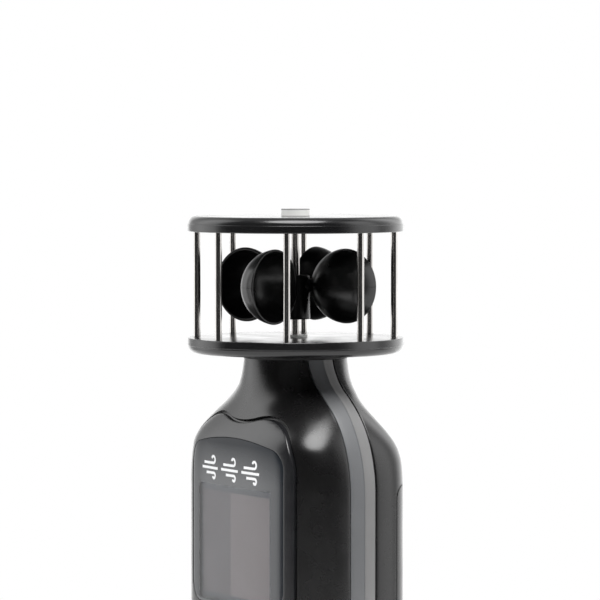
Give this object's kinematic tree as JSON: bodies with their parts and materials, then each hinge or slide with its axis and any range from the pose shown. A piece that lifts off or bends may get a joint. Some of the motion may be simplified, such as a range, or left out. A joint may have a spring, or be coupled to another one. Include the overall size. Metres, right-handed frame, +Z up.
{
  "type": "cup anemometer",
  "caption": "Handheld wind speed meter: cups turn freely in a rod cage on the neck of a slim case with a display, keys and a battery door.",
  "frame": {"origin": "middle of the flat base, on the axis of the rotor and the cage", "axes": "+Z up along the rotor axis towards the top disc, -Y towards the display side, +X to the right when facing the display"},
  "size_m": [0.0608, 0.05, 0.1353],
  "materials": {
    "black_disc": "glossy moulded",
    "cap_white": "satin moulded",
    "rod_steel": "bright drawn wire",
    "spindle_steel": "ground",
    "rotor_black": "satin moulded",
    "magnet": "dull ferrite",
    "seal_rubber": "matte",
    "screw_steel": "plated",
    "case_black": "semi-gloss moulded",
    "band_gray": "soft matte",
    "band_light_gray": "soft matte",
    "bezel_gray": "satin",
    "window_smoke": "polished smoked panel",
    "lcd_face": "blank display",
    "frame_white": "moulded",
    "connector_rubber": "striped elastomer",
    "board_green": "solder mask",
    "chip_black": "moulded",
    "ribbon": "flat ribbon",
    "key_gray": "soft touch",
    "bush_brass": "knurled",
    "tray_black": "moulded",
    "cell_jacket": "printed jacket",
    "contact_steel": "nickel plated"
  },
  "bodies": {
    "meter": {"top_disc": "black_disc", "base_disc": "black_disc", "bearing_cap": "cap_white", "upper_bearing": "cap_white", "lower_bearing": "cap_white", "cage_rod_1": "rod_steel", "cage_rod_2": "rod_steel", "cage_rod_3": "rod_steel", "cage_rod_4": "rod_steel", "cage_rod_5": "rod_steel", "cage_rod_6": "rod_steel", "cage_rod_7": "rod_steel", "cage_rod_8": "rod_steel", "neck_seal": "seal_rubber", "cage_screws": "screw_steel", "front_shell": "case_black", "rear_shell": "case_black", "front_band": "band_gray", "rear_band": "band_light_gray", "bezel": "bezel_gray", "window_lens": "window_smoke", "lcd_module": "lcd_face", "lcd_frame": "frame_white", "lcd_connector_1": "connector_rubber", "lcd_connector_2": "connector_rubber", "main_board": "board_green", "microcontroller": "chip_black", "switch_1": "chip_black", "switch_2": "chip_black", "sensor_board": "board_green", "speed_sensor": "chip_black", "sensor_ribbon": "ribbon", "case_screws": "screw_steel", "tripod_bush": "bush_brass", "battery_tray": "tray_black", "battery_1": "cell_jacket", "battery_2": "cell_jacket", "contact_plate_1": "contact_steel", "contact_plate_2": "contact_steel", "contact_spring_1": "contact_steel", "contact_spring_2": "contact_steel"},
    "rotor": {"spindle": "spindle_steel", "rotor_hub": "rotor_black", "rotor_magnet": "magnet", "cup_1": "rotor_black", "cup_2": "rotor_black", "cup_3": "rotor_black", "cup_4": "rotor_black"},
    "key_1": {"button_1": "key_gray"},
    "key_2": {"button_2": "key_gray"},
    "door": {"battery_door": "case_black"}
  },
  "joints": [
    {"name": "rotor_spin", "type": "hinge", "parent": "meter", "child": "rotor", "pos_m": [0, 0, 0.1176], "axis": [0, 0, 1], "continuous": true},
    {"name": "key_1_press", "type": "slide", "parent": "meter", "child": "key_1", "axis": [0, 1, 0], "range_m": [0, 0.0005], "stiffness_N_per_m": 400},
    {"name": "key_2_press", "type": "slide", "parent": "meter", "child": "key_2", "axis": [0, 1, 0], "range_m": [0, 0.0005], "stiffness_N_per_m": 400},
    {"name": "door_lift", "type": "slide", "parent": "meter", "child": "door", "axis": [0, 1, 0], "range_m": [0, 0.03]}
  ]
}
